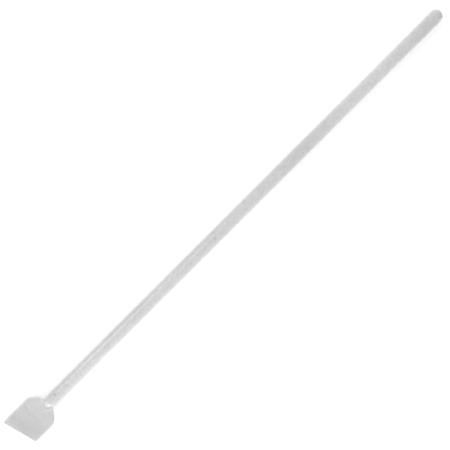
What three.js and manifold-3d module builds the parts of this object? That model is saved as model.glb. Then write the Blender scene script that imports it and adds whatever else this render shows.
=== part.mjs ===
// Cell scraper, moulded in one piece: a round handle whose nose runs out over a flat blade with a
// skewed, bevelled scraping edge.
//
// Millimetres, +Z up. The tool is drawn with its blade level, the handle's axis along X and the
// blade towards -X, starting from the leading corner of the scraping edge. It is then laid down
// as it comes to rest on a bench: on its handle, rolled until the blade's long side touches.

import * as THREE from "three";
import { mergeVertices } from "three/addons/utils/BufferGeometryUtils.js";
import Module from "manifold-3d";

const wasm = await Module();
wasm.setup();

// ---- Handle ----

const overallLength = 220; // leading corner of the blade to the tip of the free end
const handleDiameter = 5;
const handleSides = 32;
const noseLength = 3.5; // the half-ellipsoid that closes the handle over the blade
const noseReach = 2.3; // how far the nose runs out over the blade, past the crown of its back

// ---- Blade ----

const bladeWidth = 14;
const bladeThickness = 1;
const bladeLength = 17.6; // leading corner to the crown of the blade's back, inside the nose
const longSideLength = 12.2; // straight side that ends in the leading corner
const edgeSkew = 4.2; // how far the trailing corner of the scraping edge lies behind the leading one
const shoulderPull = 2.5; // how far the side's line pulls on the shoulder's curve
const crownPull = 2.2; // how far the crown's line pulls on it from the other end
const sideRadius = 0.25; // rounding of the blade's sides and shoulders
const bevelWidth = 1.1; // of the bevel along the scraping edge
const lipThickness = 0.3; // what the bevel leaves of the blade at the scraping edge
const rootFillet = 0.4; // between the nose and the faces of the blade
const filletWeld = 0.05; // how deep the fillet's ring is set into the nose, to join it cleanly

// ---- Worked out from these ----

const handleRadius = handleDiameter / 2;
const handleApothem = handleRadius * Math.cos(Math.PI / handleSides); // axis to a flat of the handle
const noseStart = bladeLength - noseReach + noseLength;
const halfBlade = bladeWidth / 2;
const halfThickness = bladeThickness / 2;
const skewAngle = Math.atan2(edgeSkew, bladeWidth);

// The roll that brings the rounded edge of the blade's long side down to the level of the
// handle's lowest flat.
const edgeCentreY = halfBlade - sideRadius;
const edgeCentreZ = halfThickness - sideRadius;
const edgeCentreDrop = handleApothem - sideRadius;
const restRoll =
  Math.asin(edgeCentreDrop / Math.hypot(edgeCentreY, edgeCentreZ)) - Math.atan2(edgeCentreZ, edgeCentreY);

// ---- Solids from three.js geometry, and back ----

function toSolid(geometry) {
  const bare = geometry.clone();
  bare.deleteAttribute("normal");
  bare.deleteAttribute("uv");
  const merged = mergeVertices(bare, 1e-5);
  const corners = merged.index.array;
  const triangles = [];
  for (let i = 0; i < corners.length; i += 3) {
    const [a, b, c] = [corners[i], corners[i + 1], corners[i + 2]];
    if (a !== b && b !== c && c !== a) triangles.push(a, b, c); // a revolve has slivers at its poles
  }
  return new wasm.Manifold(
    new wasm.Mesh({
      numProp: 3,
      vertProperties: new Float32Array(merged.attributes.position.array),
      triVerts: new Uint32Array(triangles),
    }),
  );
}

function toGeometry(solid) {
  const mesh = solid.getMesh();
  const geometry = new THREE.BufferGeometry();
  geometry.setAttribute("position", new THREE.BufferAttribute(new Float32Array(mesh.vertProperties), 3));
  geometry.setIndex(new THREE.BufferAttribute(new Uint32Array(mesh.triVerts), 1));
  geometry.computeVertexNormals();
  return geometry;
}

// ---- Handle ----

// Radius of the nose's elliptic section at a height above or below the axis.
function noseRadiusAt(height) {
  return Math.sqrt(handleRadius ** 2 - height ** 2);
}

// One profile revolved about X, from the tip of the nose to the hemisphere of the free end.
function handleSolid() {
  const profile = new THREE.Path();
  profile.absellipse(noseStart, 0, noseLength, handleRadius, Math.PI, Math.PI / 2, true);
  profile.absarc(overallLength - handleRadius, 0, handleRadius, Math.PI / 2, 0, true);
  const points = profile.getPoints(6).map((p) => new THREE.Vector2(p.y, p.x));
  points[0].x = 0;
  points[points.length - 1].x = 0;
  // One flat of the handle ends up underneath once the tool is rolled to rest.
  const lathe = new THREE.LatheGeometry(points, handleSides, restRoll + Math.PI / handleSides);
  lathe.rotateZ(-Math.PI / 2);
  return toSolid(lathe);
}

// ---- Blade ----

// The blade's plan, drawn in by `inset` all round. Its front end is left square, ahead of the
// leading corner, for the scraping edge to be cut from.
function bladeOutline(inset) {
  const front = -bladeThickness;
  const side = halfBlade - inset;
  const crown = bladeLength - inset;
  const outline = new THREE.Shape();
  outline.moveTo(front, side);
  outline.lineTo(front, -side);
  outline.lineTo(longSideLength, -side);
  outline.bezierCurveTo(longSideLength + shoulderPull, -side, crown, -crownPull, crown, 0);
  outline.bezierCurveTo(crown, crownPull, longSideLength + shoulderPull, side, longSideLength, side);
  outline.closePath();
  return outline;
}

// A plate of the given outline, centred on the axis, with its edges rounded to `radius`.
function plate(outline, thickness, radius) {
  const geometry = new THREE.ExtrudeGeometry(outline, {
    depth: thickness - 2 * radius,
    bevelEnabled: radius > 0,
    bevelThickness: radius,
    bevelSize: radius,
    bevelOffset: -radius,
    bevelSegments: 4,
    curveSegments: 16,
  });
  geometry.translate(0, 0, radius - thickness / 2);
  return toSolid(geometry);
}

// Everything ahead of the scraping edge and above its bevel: a section with the edge at its
// origin, swept along the skewed edge.
function edgeTrimmer() {
  const clear = 2 * bladeThickness;
  const lipTop = lipThickness - halfThickness;
  const slope = (bladeThickness - lipThickness) / bevelWidth;
  const section = new THREE.Shape();
  section.moveTo(0, -clear);
  section.lineTo(0, lipTop);
  section.lineTo((clear - lipTop) / slope, clear);
  section.lineTo(-bladeWidth, clear);
  section.lineTo(-bladeWidth, -clear);
  section.closePath();
  const reach = 2 * bladeWidth;
  const geometry = new THREE.ExtrudeGeometry(section, { depth: reach, bevelEnabled: false });
  geometry.translate(0, 0, -reach / 2);
  geometry.rotateX(Math.PI / 2);
  geometry.rotateZ(skewAngle);
  geometry.translate(edgeSkew / 2, 0, 0);
  return toSolid(geometry);
}

// The fillet round the foot of the nose, on both faces of the blade: a ring of concave section,
// drawn out along X as the nose is, and kept within the flat of the blade.
function rootFilletSolid() {
  const top = halfThickness + rootFillet;
  const inner = noseRadiusAt(top) - filletWeld;
  const section = new THREE.Path();
  section.moveTo(0, -top);
  section.lineTo(inner, -top);
  section.absarc(inner + rootFillet, -top, rootFillet, Math.PI, Math.PI / 2, true);
  section.absarc(inner + rootFillet, top, rootFillet, -Math.PI / 2, Math.PI, true);
  section.lineTo(0, top);
  const ring = new THREE.LatheGeometry(section.getPoints(4), handleSides);
  ring.rotateX(Math.PI / 2);
  ring.scale(noseLength / handleRadius, 1, 1);
  ring.translate(noseStart, 0, 0);
  return toSolid(ring).intersect(plate(bladeOutline(sideRadius), 2 * top, 0));
}

function bladeSolid() {
  return plate(bladeOutline(0), bladeThickness, sideRadius).subtract(edgeTrimmer());
}

// ---- The moulding, laid down at rest ----

const polyethylene = new THREE.MeshStandardMaterial({ color: 0xd2d3d3, roughness: 0.42, metalness: 0 });

const moulding = handleSolid().add(bladeSolid()).add(rootFilletSolid());
const scraper = new THREE.Mesh(toGeometry(moulding), polyethylene);
scraper.name = "cell_scraper";
scraper.rotation.x = -restRoll; // lowers the long side, at +Y
scraper.position.set(-overallLength / 2, 0, handleApothem);

const part = new THREE.Group();
part.add(scraper);

export default part;
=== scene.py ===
"""Cell scraper: a slim round handle that noses down onto a flat spade blade with a skewed, bevelled
scraping edge, injection moulded in one piece from natural polyethylene.

The scraper is drawn with its blade level and its handle along X, from the leading corner of the
scraping edge. It is then laid down as it rests on a bench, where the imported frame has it.
"""

import math

import bmesh
import bpy
from mathutils import Matrix, Vector


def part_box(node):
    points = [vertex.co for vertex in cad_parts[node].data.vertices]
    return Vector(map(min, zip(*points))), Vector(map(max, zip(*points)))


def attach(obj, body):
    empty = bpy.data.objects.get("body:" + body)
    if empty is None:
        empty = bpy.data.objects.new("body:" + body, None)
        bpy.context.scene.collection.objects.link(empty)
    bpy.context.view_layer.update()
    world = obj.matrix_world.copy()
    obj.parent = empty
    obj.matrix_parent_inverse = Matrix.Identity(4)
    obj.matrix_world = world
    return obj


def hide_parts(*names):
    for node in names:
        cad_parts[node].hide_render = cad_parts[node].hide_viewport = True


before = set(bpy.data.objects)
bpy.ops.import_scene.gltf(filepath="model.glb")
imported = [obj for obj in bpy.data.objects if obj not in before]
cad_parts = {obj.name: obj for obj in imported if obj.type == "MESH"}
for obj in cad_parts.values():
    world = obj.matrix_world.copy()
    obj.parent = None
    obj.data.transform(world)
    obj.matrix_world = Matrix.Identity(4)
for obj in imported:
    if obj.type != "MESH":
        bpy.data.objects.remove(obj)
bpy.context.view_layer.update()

bl_info = {
    "name": "Cell Scraper",
    "version": (1, 0, 0),
    "blender": (4, 5, 0),
    "location": "3D View > Sidebar > Cell Scraper",
    "description": "Models a one-piece polyethylene cell scraper round its packed frame",
    "category": "Add Mesh",
}

MM = 0.001
NODE = "cell_scraper"
LOWEST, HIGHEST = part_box(NODE)
# The free half of the handle is nothing but a rod lying on the floor, so its top is its diameter.
HANDLE_TOP = max(v.co.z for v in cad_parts[NODE].data.vertices if v.co.x > 0)

AROUND = 96  # faces round the handle
NOSE_RINGS = 28
SHOULDER_STEPS = 20
FILLET_STEPS = 8
FLOW_MARKS = 4
FLOW_PITCH = 0.667 * MM
FLOW_LEAD = 1.1 * MM  # how far the first flow mark lies ahead of the nose's start
DRUM_SINK = 0.05 * MM  # how far the root's drum starts inside each face of the blade
FILM_WIDTH = 36  # millimetres, as the camera counts them
TINY = 1e-7  # metres, for merging and cutting


# ---- What a user would change ----


class ScraperSizes(bpy.types.PropertyGroup):
    overall_length: bpy.props.FloatProperty(
        name="Overall length", description="Leading corner of the blade to the tip of the free end",
        default=HIGHEST.x - LOWEST.x, min=0.1, unit="LENGTH")
    handle_diameter: bpy.props.FloatProperty(
        name="Handle diameter", description="Diameter of the round handle",
        default=HANDLE_TOP, min=0.002, unit="LENGTH")
    nose_length: bpy.props.FloatProperty(
        name="Nose length", description="Length of the half-ellipsoid that closes the handle",
        default=3.5 * MM, min=0.0, unit="LENGTH")
    nose_reach: bpy.props.FloatProperty(
        name="Nose reach", description="How far the nose runs out over the blade",
        default=2.3 * MM, min=0.0, unit="LENGTH")
    blade_width: bpy.props.FloatProperty(
        name="Blade width", description="Distance between the blade's straight sides",
        default=14 * MM, min=0.005, unit="LENGTH")
    blade_thickness: bpy.props.FloatProperty(
        name="Blade thickness", description="Thickness of the flat of the blade",
        default=1 * MM, min=0.0003, unit="LENGTH")
    blade_length: bpy.props.FloatProperty(
        name="Blade length", description="Leading corner to the crown of the blade's back",
        default=17.6 * MM, min=0.005, unit="LENGTH")
    long_side: bpy.props.FloatProperty(
        name="Long side", description="Straight side that ends in the leading corner",
        default=12.2 * MM, min=0.003, unit="LENGTH")
    edge_skew: bpy.props.FloatProperty(
        name="Edge skew", description="How far the trailing corner lies behind the leading one",
        default=4.2 * MM, min=0.0, unit="LENGTH")
    shoulder_pull: bpy.props.FloatProperty(
        name="Shoulder pull", description="How far the side's line pulls on the shoulder",
        default=2.5 * MM, min=0.0, unit="LENGTH")
    crown_pull: bpy.props.FloatProperty(
        name="Crown pull", description="How far the crown's line pulls on the shoulder",
        default=2.2 * MM, min=0.0, unit="LENGTH")
    side_radius: bpy.props.FloatProperty(
        name="Side radius", description="Rounding of the blade's sides and shoulders",
        default=0.25 * MM, min=0.0, unit="LENGTH")
    bevel_width: bpy.props.FloatProperty(
        name="Bevel width", description="Width of the bevel along the scraping edge",
        default=1.1 * MM, min=0.0001, unit="LENGTH")
    lip_thickness: bpy.props.FloatProperty(
        name="Lip thickness", description="What the bevel leaves of the blade at the edge",
        default=0.3 * MM, min=0.0001, unit="LENGTH")
    edge_softness: bpy.props.FloatProperty(
        name="Edge softness", description="Rounding of the corners of the bevel and the lip",
        default=0.05 * MM, min=0.0, unit="LENGTH")
    root_fillet: bpy.props.FloatProperty(
        name="Root fillet", description="Fillet between the nose and the faces of the blade",
        default=0.4 * MM, min=0.0, unit="LENGTH")
    parting_height: bpy.props.FloatProperty(
        name="Parting line", description="Height of the witness line that the mould's halves leave",
        default=0.025 * MM, min=0.0, unit="LENGTH")
    ejector_width: bpy.props.FloatProperty(
        name="Ejector mark", description="Width of the sunken mark behind the nose",
        default=1.2 * MM, min=0.0, unit="LENGTH")
    ejector_place: bpy.props.FloatProperty(
        name="Ejector place", description="Leading corner of the blade to the ejector mark",
        default=21.4 * MM, min=0.0, unit="LENGTH")
    gate_place: bpy.props.FloatProperty(
        name="Gate place", description="Leading corner of the blade to the gate mark",
        default=102.9 * MM, min=0.0, unit="LENGTH")
    gate_turn: bpy.props.FloatProperty(
        name="Gate turn", description="Turn of the gate mark from the blade's upper side",
        default=math.radians(-21.8), subtype="ANGLE")
    gate_width: bpy.props.FloatProperty(
        name="Gate mark", description="Width of the pit that the gate leaves at mid-length",
        default=0.6 * MM, min=0.0, unit="LENGTH")


# ---- Small helpers for working as by hand ----


def start_piece():
    """Leave edit mode and let go of everything, so that the next primitive stands alone."""
    if bpy.context.object and bpy.context.object.mode != "OBJECT":
        bpy.ops.object.mode_set(mode="OBJECT")
    bpy.ops.object.select_all(action="DESELECT")


def take(piece):
    """Select one finished piece and make it active."""
    start_piece()
    piece.select_set(True)
    bpy.context.view_layer.objects.active = piece


def edit(piece):
    """Take one finished piece into edit mode."""
    take(piece)
    bpy.ops.object.mode_set(mode="EDIT")


def pick(piece, kind, wanted):
    """In edit mode, select the vertices, edges or faces that are wanted, and nothing else."""
    bpy.ops.mesh.select_mode(type=kind)
    bpy.ops.mesh.select_all(action="DESELECT")
    mesh = bmesh.from_edit_mesh(piece.data)
    found = {"VERT": mesh.verts, "EDGE": mesh.edges, "FACE": mesh.faces}[kind]
    for element in found:
        if wanted(element):
            element.select_set(True)
    mesh.select_flush_mode()
    bmesh.update_edit_mesh(piece.data)


def draw_on(step, centre, scale):
    """Extrude what is selected by a step, then scale the new ring or face about a point."""
    bpy.ops.mesh.extrude_region_move(TRANSFORM_OT_translate={"value": step})
    bpy.ops.transform.resize(value=scale, center_override=centre)


def close_up():
    """Merge what has come together and turn every face outwards."""
    bpy.ops.mesh.select_all(action="SELECT")
    bpy.ops.mesh.remove_doubles(threshold=TINY)
    bpy.ops.mesh.normals_make_consistent(inside=False)


def combine(piece, other, operation):
    """Join, cut or trim a piece by another, which is used up."""
    take(piece)
    modifier = piece.modifiers.new(operation.title(), "BOOLEAN")
    modifier.object = other
    modifier.operation = operation
    modifier.solver = "EXACT"
    bpy.ops.object.modifier_apply(modifier=modifier.name)
    bpy.data.objects.remove(other)


# ---- Handle ----


def nose_start(sizes):
    return sizes.blade_length - sizes.nose_reach + sizes.nose_length


def handle_stations(sizes, tip):
    """Where rings go along the handle, from the free end to the nose, closer behind the nose."""
    start = nose_start(sizes)
    close = start + 2 * MM
    coarse = [tip + (close - tip) * i / 66 for i in range(1, 67)]
    fine = [close + (start - close) * i / 12 for i in range(1, 13)]
    return coarse + fine


def press_flow_marks(handle, sizes):
    """Shallow ripples that the plastic's front leaves across the top as it turns into the blade."""
    start = nose_start(sizes)
    for i in range(FLOW_MARKS):
        trough = start + FLOW_PITCH * i - FLOW_LEAD
        for reach, depth in ((0.2 * MM, 0.014 * MM), (0.09 * MM, 0.014 * MM)):
            pick(handle, "VERT", lambda v: abs(v.co.x - trough) < reach and v.co.z > 0.75 * abs(v.co.y))
            bpy.ops.transform.shrink_fatten(value=-depth)


def raise_parting_line(handle, sizes, tip):
    """A fine ridge along both flanks, where the two halves of the mould meet."""
    pick(handle, "EDGE", lambda e: all(abs(v.co.z) < TINY and abs(v.co.y) > 0.6 * MM for v in e.verts))
    bpy.ops.mesh.bevel(offset=0.05 * MM, segments=2, profile=0.5, affect="EDGES")
    pick(handle, "VERT", lambda v: abs(v.co.z) < TINY and abs(v.co.y) > 0.7 * MM)
    bpy.ops.transform.shrink_fatten(value=sizes.parting_height)


def press_mould_marks(handle, sizes):
    """The flat spot of an ejector pin behind the nose, and the pit of a gate at mid-length."""
    radius = sizes.handle_diameter / 2
    start_piece()
    bpy.ops.mesh.primitive_cylinder_add(
        vertices=40, radius=sizes.ejector_width / 2, depth=1 * MM,
        location=(sizes.ejector_place, 0, radius - 0.1 * MM + 0.5 * MM))
    pin = bpy.context.object
    bpy.ops.object.transform_apply(location=True, rotation=True, scale=True)
    combine(handle, pin, "DIFFERENCE")
    start_piece()
    ball = 0.4 * MM
    sunk = math.sqrt(ball ** 2 - (sizes.gate_width / 2) ** 2)
    turn = sizes.gate_turn
    bpy.ops.mesh.primitive_uv_sphere_add(
        segments=32, ring_count=16, radius=ball,
        location=(sizes.gate_place, (radius + sunk) * math.sin(turn), (radius + sunk) * math.cos(turn)))
    stub = bpy.context.object
    bpy.ops.object.transform_apply(location=True, rotation=True, scale=True)
    combine(handle, stub, "DIFFERENCE")


def model_handle(sizes):
    """A sphere opened in half, drawn out along the handle and closed over the nose."""
    radius = sizes.handle_diameter / 2
    tip = sizes.overall_length - radius
    start_piece()
    bpy.ops.mesh.primitive_uv_sphere_add(
        segments=AROUND, ring_count=AROUND // 2, radius=radius,
        location=(tip, 0, 0), rotation=(0, math.pi / 2, 0))
    handle = bpy.context.object
    handle.name = "handle"
    bpy.ops.object.transform_apply(location=True, rotation=True, scale=True)
    bpy.ops.object.mode_set(mode="EDIT")
    pick(handle, "VERT", lambda v: v.co.x < tip - 1e-5)
    bpy.ops.mesh.delete(type="VERT")
    pick(handle, "EDGE", lambda e: e.is_boundary)
    x = tip
    for station in handle_stations(sizes, tip):
        bpy.ops.mesh.extrude_region_move(TRANSFORM_OT_translate={"value": (station - x, 0, 0)})
        x = station
    start, width = x, 1.0
    for ring in range(1, NOSE_RINGS):
        turn = math.radians(90 * ring / NOSE_RINGS)
        station = start - sizes.nose_length * math.sin(turn)
        narrowed = math.cos(turn)
        draw_on((station - x, 0, 0), (station, 0, 0), (1, narrowed / width, narrowed / width))
        x, width = station, narrowed
    bpy.ops.mesh.extrude_region_move(
        TRANSFORM_OT_translate={"value": (start - sizes.nose_length - x, 0, 0)})
    bpy.ops.mesh.merge(type="CENTER")
    close_up()
    press_flow_marks(handle, sizes)
    raise_parting_line(handle, sizes, tip)
    bpy.ops.object.mode_set(mode="OBJECT")
    press_mould_marks(handle, sizes)
    return handle


# ---- Blade ----


def shoulder_points(sizes, inset):
    """The shoulder's curve from the straight side to the crown, as places along and across."""
    side = sizes.blade_width / 2 - inset
    crown = sizes.blade_length - inset
    a = Vector((sizes.long_side, side))
    b = Vector((sizes.long_side + sizes.shoulder_pull, side))
    c = Vector((crown, sizes.crown_pull))
    d = Vector((crown, 0))
    points = []
    for i in range(SHOULDER_STEPS + 1):
        t = i / SHOULDER_STEPS
        points.append((1 - t) ** 3 * a + 3 * t * (1 - t) ** 2 * b + 3 * t * t * (1 - t) * c + t ** 3 * d)
    return points


def model_blank(sizes, inset, thickness):
    """The blade's plan at a thickness: a block whose back is drawn out over the shoulders."""
    front = -sizes.blade_thickness
    half = sizes.blade_width / 2 - inset
    start_piece()
    bpy.ops.mesh.primitive_cube_add(
        size=1, location=((front + sizes.long_side) / 2, 0, 0),
        scale=(sizes.long_side - front, 2 * half, thickness))
    blank = bpy.context.object
    bpy.ops.object.transform_apply(location=True, rotation=True, scale=True)
    bpy.ops.object.mode_set(mode="EDIT")
    pick(blank, "FACE", lambda f: f.normal.x > 0.9)
    before = Vector((sizes.long_side, half))
    for point in shoulder_points(sizes, inset)[1:]:
        step = point.x - before.x
        draw_on((step, 0, 0), (point.x, 0, 0), (1, point.y / before.y, 1))
        before = point
    close_up()
    bpy.ops.mesh.dissolve_limited(angle_limit=math.radians(0.2))
    bpy.ops.object.mode_set(mode="OBJECT")
    return blank


def way_ahead(sizes):
    """The direction that the skewed scraping edge faces."""
    skew = math.atan2(sizes.edge_skew, sizes.blade_width)
    return Vector((-math.cos(skew), -math.sin(skew), 0))


def model_blade(sizes):
    """The blank with rounded sides, cut along the skewed edge and bevelled there."""
    blade = model_blank(sizes, 0, sizes.blade_thickness)
    blade.name = "blade"
    half = sizes.blade_thickness / 2
    edit(blade)
    pick(blade, "EDGE", lambda e: all(abs(abs(v.co.z) - half) < 1e-6 for v in e.verts)
         and e.calc_face_angle(0) > 0.5)
    bpy.ops.mesh.bevel(offset=sizes.side_radius, segments=6, profile=0.5, affect="EDGES")
    ahead = way_ahead(sizes)
    lip_top = sizes.lip_thickness - half
    drop = sizes.blade_thickness - sizes.lip_thickness
    upward = (ahead * drop + Vector((0, 0, sizes.bevel_width))).normalized()
    for height, normal in ((0, ahead), (lip_top, upward)):
        bpy.ops.mesh.select_all(action="SELECT")
        bpy.ops.mesh.bisect(
            plane_co=(sizes.edge_skew / 2, 0, height), plane_no=normal,
            use_fill=True, clear_outer=True, threshold=TINY)
    close_up()
    on_edge = lambda f: f.normal.dot(ahead) > 0.999 or f.normal.dot(upward) > 0.999
    pick(blade, "EDGE", lambda e: any(on_edge(f) for f in e.link_faces)
         and e.calc_face_angle(0) > math.radians(20))
    bpy.ops.mesh.bevel(offset=sizes.edge_softness, segments=2, profile=0.5, affect="EDGES")
    bpy.ops.object.mode_set(mode="OBJECT")
    return blade


# ---- Fillet round the foot of the nose ----


def model_root(sizes):
    """A short drum whose two faces are drawn out along the fillet's curve, kept on the blade."""
    radius = sizes.handle_diameter / 2
    half = sizes.blade_thickness / 2
    fillet = sizes.root_fillet
    top = half + fillet
    inner = math.sqrt(radius ** 2 - top ** 2) - 0.03 * MM
    start = nose_start(sizes)
    start_piece()
    bpy.ops.mesh.primitive_cylinder_add(
        vertices=AROUND, radius=inner + fillet, depth=2 * (half - DRUM_SINK),
        location=(start, 0, 0))
    root = bpy.context.object
    root.name = "root"
    bpy.ops.object.transform_apply(location=True, rotation=True, scale=True)
    bpy.ops.object.mode_set(mode="EDIT")
    for way in (1, -1):
        pick(root, "FACE", lambda f: f.normal.z * way > 0.9)
        height, width = half - DRUM_SINK, inner + fillet
        bpy.ops.mesh.extrude_region_move(
            TRANSFORM_OT_translate={"value": (0, 0, way * (half - height))})
        height = half
        for i in range(1, FILLET_STEPS + 1):
            turn = math.radians(90 * i / FILLET_STEPS)
            new_height = top - fillet * math.cos(turn)
            new_width = inner + fillet * (1 - math.sin(turn))
            scale = new_width / width
            draw_on((0, 0, way * (new_height - height)), (start, 0, way * new_height), (scale, scale, 1))
            height, width = new_height, new_width
    bpy.ops.mesh.select_all(action="SELECT")
    bpy.ops.transform.resize(value=(sizes.nose_length / radius, 1, 1), center_override=(start, 0, 0))
    close_up()
    bpy.ops.object.mode_set(mode="OBJECT")
    combine(root, model_blank(sizes, sizes.side_radius, 3 * top), "INTERSECT")
    return root


# ---- Laying down and moulding ----


def rest_roll(sizes):
    """The roll that brings the rounded edge of the blade's long side down beside the handle."""
    across = sizes.blade_width / 2 - sizes.side_radius
    up = sizes.blade_thickness / 2 - sizes.side_radius
    drop = sizes.handle_diameter / 2 - sizes.side_radius
    return math.asin(drop / math.hypot(across, up)) - math.atan2(up, across)


def laying(sizes):
    """The move from the level drawing to the floor, where the frame has the scraper."""
    place = (LOWEST.x, 0, LOWEST.z + sizes.handle_diameter / 2)
    return Matrix.Translation(place) @ Matrix.Rotation(-rest_roll(sizes), 4, "X")


def lay_down(piece, sizes):
    """Roll the scraper until its long side touches the floor, and put it in the frame's place."""
    take(piece)
    piece.matrix_world = laying(sizes)
    bpy.ops.object.transform_apply(location=True, rotation=True, scale=True)


class SCRAPER_OT_moulding(bpy.types.Operator):
    """Model the scraper in one piece"""

    bl_idname = "scraper.moulding"
    bl_label = "Model Scraper"

    def execute(self, context):
        sizes = context.scene.scraper_sizes
        scraper = model_handle(sizes)
        combine(scraper, model_blade(sizes), "UNION")
        combine(scraper, model_root(sizes), "UNION")
        scraper.name = "scraper"
        lay_down(scraper, sizes)
        take(scraper)
        bpy.ops.object.shade_smooth_by_angle(angle=math.radians(28))
        modifier = scraper.modifiers.new("Even Normals", "WEIGHTED_NORMAL")
        modifier.keep_sharp = True
        bpy.ops.object.modifier_apply(modifier=modifier.name)
        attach(scraper, "root")
        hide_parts(NODE)
        return {"FINISHED"}


# ---- Small helpers for materials ----


def nodes_of(owner):
    """The emptied node tree of a material or world."""
    owner.use_nodes = True
    owner.node_tree.nodes.clear()
    return owner.node_tree


def add_node(tree, kind, place, **values):
    """A node at a place in the tree, with sockets or settings given by name."""
    node = tree.nodes.new(kind)
    node.location = place
    for name, value in values.items():
        if name in node.inputs:
            node.inputs[name].default_value = value
        else:
            setattr(node, name, value)
    return node


# ---- Plastic ----


class PlasticFinish(bpy.types.PropertyGroup):
    colour: bpy.props.FloatVectorProperty(
        name="Colour", description="Colour of the natural polyethylene", size=3, subtype="COLOR",
        default=(0.6, 0.6, 0.6), min=0, max=1)
    roughness: bpy.props.FloatProperty(
        name="Roughness", description="Mean roughness of the satin skin", default=0.18, min=0.1, max=0.9)
    haze: bpy.props.FloatProperty(
        name="Haze", description="How far light travels inside the plastic",
        default=1.5 * MM, min=0, unit="LENGTH")
    thin_shade: bpy.props.FloatProperty(
        name="Thin shade", description="How much body colour is left where the plastic is thin",
        default=0.84, min=0, max=1)
    # The lip's darker tone is partly the thin plastic and partly painted shade, which tones down the light
    # the bevel catches from the front light.
    lip_thin_and_painted_shade: bpy.props.FloatProperty(
        name="Lip shade", description="How much body colour is left at the lip of the scraping edge",
        default=0.7, min=0, max=1)
    # The slow clouds are a random tone, and their place is set so that their lighter and darker stretches
    # also paint light and shade along the handle.
    cloud_grain: bpy.props.FloatProperty(
        name="Cloud grain", description="Size of the slow clouds in the plastic's tone",
        default=45 * MM, min=1 * MM, unit="LENGTH")
    cloud_depth: bpy.props.FloatProperty(
        name="Cloud depth", description="How far the clouds lift and lower the tone",
        default=0.06, min=0, max=0.5)
    cloud_place_for_painted_light: bpy.props.FloatProperty(
        name="Cloud place", description="Where in the endless pattern of clouds the scraper lies",
        default=169.5 * MM, unit="LENGTH")
    # The ejector mark's darkness is painted shade, standing in for the shade in its shallow recess.
    ejector_painted_shade: bpy.props.FloatProperty(
        name="Ejector shade", description="How much body colour is left in the ejector mark",
        default=0.6, min=0, max=1)
    gate_shade: bpy.props.FloatProperty(
        name="Gate shade", description="How much body colour is left in the gate mark",
        default=0.8, min=0, max=1)


def ranged(tree, value, place, start, end, low, high):
    """Fade from one value to another while the input goes from start to end."""
    node = add_node(tree, "ShaderNodeMapRange", place, interpolation_type="SMOOTHSTEP")
    for socket, limit in zip(("From Min", "From Max", "To Min", "To Max"), (start, end, low, high)):
        node.inputs[socket].default_value = limit
    tree.links.new(value, node.inputs["Value"])
    return node.outputs["Result"]


def wandering(tree, point, row, grain, low, high):
    """A value that wanders between two limits, in grains of about a given size."""
    noise = add_node(tree, "ShaderNodeTexNoise", (-1100, row), Scale=1 / grain, Detail=2)
    tree.links.new(point, noise.inputs["Vector"])
    return ranged(tree, noise.outputs["Fac"], (-900, row), 0.3, 0.7, low, high)


def moved(tree, point, row, way):
    """The point a given way off, so that a pattern is read from another place."""
    there = add_node(tree, "ShaderNodeVectorMath", (-1300, row), operation="ADD")
    tree.links.new(point, there.inputs[0])
    there.inputs[1].default_value = way
    return there.outputs["Vector"]


def spot(tree, point, row, centre, radius, shade):
    """A shade within a round spot that fades to one over a soft rim."""
    away = add_node(tree, "ShaderNodeVectorMath", (-1100, row), operation="DISTANCE")
    tree.links.new(point, away.inputs[0])
    away.inputs[1].default_value = centre
    return ranged(tree, away.outputs["Value"], (-900, row), 0.6 * radius, 1.3 * radius, shade, 1)


def worked(tree, place, operation, *values):
    """The result of one sum on sockets or plain numbers."""
    node = add_node(tree, "ShaderNodeMath", place, operation=operation)
    for socket, value in zip(node.inputs, values):
        if isinstance(value, (int, float)):
            socket.default_value = value
        else:
            tree.links.new(value, socket)
    return node.outputs["Value"]


def off_plane(tree, point, row, move, place, facing):
    """How far a point lies off a plane that is given by a place and a direction of the drawing."""
    away = add_node(tree, "ShaderNodeVectorMath", (-1500, row), operation="SUBTRACT")
    tree.links.new(point, away.inputs[0])
    away.inputs[1].default_value = move @ Vector(place)
    height = add_node(tree, "ShaderNodeVectorMath", (-1300, row), operation="DOT_PRODUCT")
    tree.links.new(away.outputs["Vector"], height.inputs[0])
    height.inputs[1].default_value = move.to_3x3() @ Vector(facing)
    return height.outputs["Value"]


def thin_mask_and_painted_glow(tree, point, row, sizes):
    """A mask of the flat of the blade, where the plastic is too thin to hold much light.

    It leaves out the foot of the nose, where the full body colour is painted light: it lightens the shade
    in the corner round the nose and stands in for the light that the thick plastic behind it gathers there."""
    move = laying(sizes)
    half = sizes.blade_thickness / 2
    height = worked(tree, (-1100, row), "ABSOLUTE", off_plane(tree, point, row, move, (0, 0, 0), (0, 0, 1)))
    flat = ranged(tree, height, (-900, row), half, half + sizes.root_fillet / 4, 1, 0)
    back = off_plane(tree, point, row - 200, move, (sizes.blade_length, 0, 0), (1, 0, 0))
    ahead = ranged(tree, back, (-900, row - 200), 0, 1 * MM, 1, 0)
    foot = sizes.nose_length + sizes.root_fillet
    # Painted light: round the nose's foot the blade keeps its full body colour, which lifts the shaded
    # corner there.
    clear = spot(tree, point, row - 350, move @ Vector((nose_start(sizes), 0, 0)), foot, 0)
    mask = worked(tree, (-700, row), "MULTIPLY", flat, ahead)
    return worked(tree, (-600, row), "MULTIPLY", mask, clear)


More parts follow.
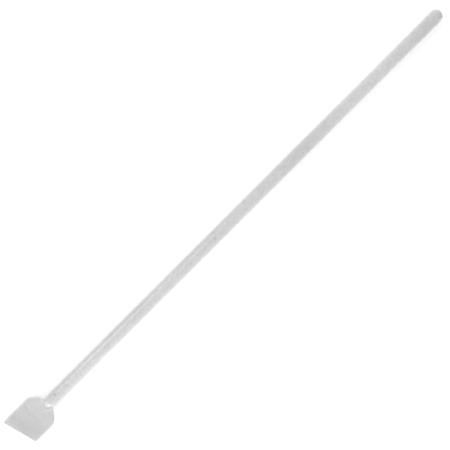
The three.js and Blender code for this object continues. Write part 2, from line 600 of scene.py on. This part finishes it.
class SCRAPER_OT_plastic(bpy.types.Operator):
    """Give the scraper its natural polyethylene"""

    bl_idname = "scraper.plastic"
    bl_label = "Apply Polyethylene"

    def execute(self, context):
        sizes = context.scene.scraper_sizes
        finish = context.scene.scraper_plastic
        scraper = bpy.data.objects["scraper"]
        plastic = bpy.data.materials.new("polyethylene")
        tree = nodes_of(plastic)
        point = add_node(tree, "ShaderNodeTexCoord", (-1700, 0)).outputs["Object"]
        radius = sizes.handle_diameter / 2
        turn = sizes.gate_turn
        ejector = laying(sizes) @ Vector((sizes.ejector_place, 0, radius))
        gate = laying(sizes) @ Vector((sizes.gate_place, radius * math.sin(turn), radius * math.cos(turn)))

        behind = off_plane(tree, point, 100, laying(sizes), (sizes.edge_skew / 2, 0, 0), -way_ahead(sizes))
        body = add_node(tree, "ShaderNodeMix", (-500, 600))
        tree.links.new(thin_mask_and_painted_glow(tree, point, 500, sizes), body.inputs["Factor"])
        tree.links.new(wandering(tree, point, 700, 0.9 * MM, 0.95, 1.05), body.inputs["A"])
        # Darker towards the lip: thin plastic, and partly painted shade against the light on the bevel.
        tree.links.new(ranged(tree, behind, (-900, 100), 0, 1.3 * sizes.bevel_width,
                              finish.lip_thin_and_painted_shade, finish.thin_shade), body.inputs["B"])
        shade = body.outputs["Result"]
        # Slow clouds of tone, placed so that they also paint light and shade along the handle.
        clouds = moved(tree, point, 1100, (0, finish.cloud_place_for_painted_light, 0))
        for row, other in (
                (800, wandering(tree, clouds, 1100, finish.cloud_grain,
                                1 - finish.cloud_depth, 1 + finish.cloud_depth)),
                (600, wandering(tree, point, 900, 14 * MM, 0.98, 1.02)),
                # Painted shade in the ejector mark's recess.
                (400, spot(tree, point, -50, ejector, sizes.ejector_width / 2, finish.ejector_painted_shade)),
                (200, spot(tree, point, -250, gate, sizes.gate_width / 2, finish.gate_shade))):
            shade = worked(tree, (-300, row), "MULTIPLY", shade, other)
        colour = add_node(tree, "ShaderNodeVectorMath", (-100, 100), operation="SCALE")
        colour.inputs[0].default_value = finish.colour
        tree.links.new(shade, colour.inputs["Scale"])

        rough = worked(tree, (-500, -500), "ADD",
                       wandering(tree, point, -500, 0.6 * MM, -0.04, 0.04), finish.roughness)
        coarse = wandering(tree, point, -800, 1.7 * MM, 0, 1)
        fine = wandering(tree, point, -1000, 0.2 * MM, 0, 0.06)
        skin = add_node(tree, "ShaderNodeBump", (-300, -800), Strength=1, Distance=0.009 * MM)
        tree.links.new(worked(tree, (-500, -800), "ADD", coarse, fine), skin.inputs["Height"])

        shader = add_node(tree, "ShaderNodeBsdfPrincipled", (200, 0))
        shader.inputs["IOR"].default_value = 1.51
        shader.inputs["Subsurface Weight"].default_value = 1
        shader.inputs["Subsurface Radius"].default_value = (1, 1, 1)
        shader.inputs["Subsurface Scale"].default_value = finish.haze
        tree.links.new(colour.outputs["Vector"], shader.inputs["Base Color"])
        tree.links.new(rough, shader.inputs["Roughness"])
        tree.links.new(skin.outputs["Normal"], shader.inputs["Normal"])
        output = add_node(tree, "ShaderNodeOutputMaterial", (500, 0))
        tree.links.new(shader.outputs["BSDF"], output.inputs["Surface"])
        scraper.data.materials.clear()
        scraper.data.materials.append(plastic)
        return {"FINISHED"}


# ---- Stage ----


class StudioSettings(bpy.types.PropertyGroup):
    floor_colour: bpy.props.FloatVectorProperty(
        name="Floor", description="Colour of the floor", size=4, subtype="COLOR",
        default=(0.9, 0.9, 0.9, 1), min=0, max=1)
    floor_glow: bpy.props.FloatProperty(
        name="Floor glow", description="How brightly the lit table shines by itself",
        default=0.23, min=0)
    sky: bpy.props.FloatProperty(
        name="Ceiling", description="Brightness of the room round the table", default=0.76, min=0)
    key_power: bpy.props.FloatProperty(
        name="Key light", description="Power of the softbox that draws the streak along the handle",
        default=0.58, min=0, unit="POWER")
    streak_power: bpy.props.FloatProperty(
        name="Streak light", description="Power of the small lamp in the softbox, over the blade's end",
        default=0.15, min=0, unit="POWER")
    end_power: bpy.props.FloatProperty(
        name="End light", description="Power of the small softbox beside the handle's free end",
        default=0.175, min=0, unit="POWER")
    low_power: bpy.props.FloatProperty(
        name="Low light", description="Power of the small low softbox beside the blade",
        default=0.05, min=0, unit="POWER")
    front_power: bpy.props.FloatProperty(
        name="Front light", description="Power of the low softbox ahead of the scraping edge",
        default=2.07, min=0, unit="POWER")
    camera_height: bpy.props.FloatProperty(
        name="Camera height", description="Height of the camera over the floor",
        default=0.7, min=0.1, unit="LENGTH")
    field: bpy.props.FloatProperty(
        name="Field", description="Width that the camera sees at the handle's axis",
        default=164.7 * MM, min=0.01, unit="LENGTH")
    camera_roll: bpy.props.FloatProperty(
        name="Camera roll", description="Turn of the camera about its line of sight",
        default=math.radians(-44.97), subtype="ANGLE")
    aim: bpy.props.FloatVectorProperty(
        name="Aim", description="Point on the handle's axis plane that the camera looks at",
        size=3, default=(-1.11 * MM, 0.51 * MM, 2.5 * MM), unit="LENGTH")


def add_softbox(name, place, target, size, power):
    """An area light of a size across and along, turned to a target."""
    bpy.ops.object.light_add(type="AREA", location=place)
    light = bpy.context.object
    light.name = name
    light.data.shape = "RECTANGLE"
    light.data.size, light.data.size_y = size
    light.data.energy = power
    light.rotation_euler = (Vector(target) - Vector(place)).to_track_quat("-Z", "Y").to_euler()
    return light


class SCRAPER_OT_stage(bpy.types.Operator):
    """Set the floor, the lights and the camera"""

    bl_idname = "scraper.stage"
    bl_label = "Set Stage"

    def execute(self, context):
        studio = context.scene.scraper_studio
        start_piece()
        bpy.ops.mesh.primitive_plane_add(size=4, location=(0, 0, LOWEST.z))
        floor = context.object
        floor.name = "floor"
        paper = bpy.data.materials.new("lit_table")
        tree = nodes_of(paper)
        shader = add_node(tree, "ShaderNodeBsdfPrincipled", (0, 0))
        shader.inputs["Base Color"].default_value = studio.floor_colour
        shader.inputs["Roughness"].default_value = 0.8
        shader.inputs["Emission Color"].default_value = (1, 1, 1, 1)
        shader.inputs["Emission Strength"].default_value = studio.floor_glow
        output = add_node(tree, "ShaderNodeOutputMaterial", (300, 0))
        tree.links.new(shader.outputs["BSDF"], output.inputs["Surface"])
        floor.data.materials.append(paper)

        world = bpy.data.worlds.new("studio")
        context.scene.world = world
        tree = nodes_of(world)
        sky = add_node(tree, "ShaderNodeBackground", (0, 0))
        sky.inputs["Color"].default_value = (1, 1, 1, 1)
        sky.inputs["Strength"].default_value = studio.sky
        output = add_node(tree, "ShaderNodeOutputWorld", (300, 0))
        tree.links.new(sky.outputs["Background"], output.inputs["Surface"])

        add_softbox("key_light", (-0.09, 0.44, 0.6), (-0.09, 0, 0), (0.22, 0.14), studio.key_power)
        add_softbox("streak_light", (-0.14, 0.44, 0.6), (-0.09, 0, 0), (0.065, 0.03), studio.streak_power)
        add_softbox("end_light", (0.22, 0.2, 0.16), (0.1, 0, 0), (0.15, 0.15), studio.end_power)
        add_softbox("low_light", (-0.2, -0.3, 0.12), (-0.1, 0, 0), (0.16, 0.12), studio.low_power)
        add_softbox("front_light", (-0.55, -0.25, 0.2), (-0.1, 0, 0), (0.3, 0.15), studio.front_power)

        aim = Vector(studio.aim)
        bpy.ops.object.camera_add(
            location=(aim.x, aim.y, studio.camera_height), rotation=(0, 0, studio.camera_roll))
        camera = context.object
        camera.name = "camera"
        camera.data.sensor_width = FILM_WIDTH
        camera.data.lens = FILM_WIDTH * (studio.camera_height - aim.z) / studio.field
        camera.data.clip_start = 0.01
        camera.data.clip_end = 20
        context.scene.camera = camera
        context.scene.view_settings.view_transform = "Standard"
        return {"FINISHED"}


# ---- Panel ----


class SCRAPER_PT_panel(bpy.types.Panel):
    bl_idname = "SCRAPER_PT_panel"
    bl_label = "Cell Scraper"
    bl_space_type = "VIEW_3D"
    bl_region_type = "UI"
    bl_category = "Cell Scraper"

    def draw(self, context):
        layout = self.layout
        for name in ("scraper_sizes", "scraper_plastic", "scraper_studio"):
            group = getattr(context.scene, name)
            box = layout.box()
            for prop in group.bl_rna.properties:
                if prop.identifier not in ("rna_type", "name"):
                    box.prop(group, prop.identifier)
        for operator in ("scraper.moulding", "scraper.plastic", "scraper.stage"):
            layout.operator(operator)


CLASSES = (ScraperSizes, PlasticFinish, StudioSettings,
           SCRAPER_OT_moulding, SCRAPER_OT_plastic, SCRAPER_OT_stage, SCRAPER_PT_panel)


def register():
    for cls in CLASSES:
        bpy.utils.register_class(cls)
    bpy.types.Scene.scraper_sizes = bpy.props.PointerProperty(type=ScraperSizes)
    bpy.types.Scene.scraper_plastic = bpy.props.PointerProperty(type=PlasticFinish)
    bpy.types.Scene.scraper_studio = bpy.props.PointerProperty(type=StudioSettings)


def unregister():
    del bpy.types.Scene.scraper_studio
    del bpy.types.Scene.scraper_plastic
    del bpy.types.Scene.scraper_sizes
    for cls in reversed(CLASSES):
        bpy.utils.unregister_class(cls)


def main():
    register()
    bpy.ops.scraper.moulding()
    bpy.ops.scraper.plastic()
    bpy.ops.scraper.stage()


if __name__ == "__main__":
    main()
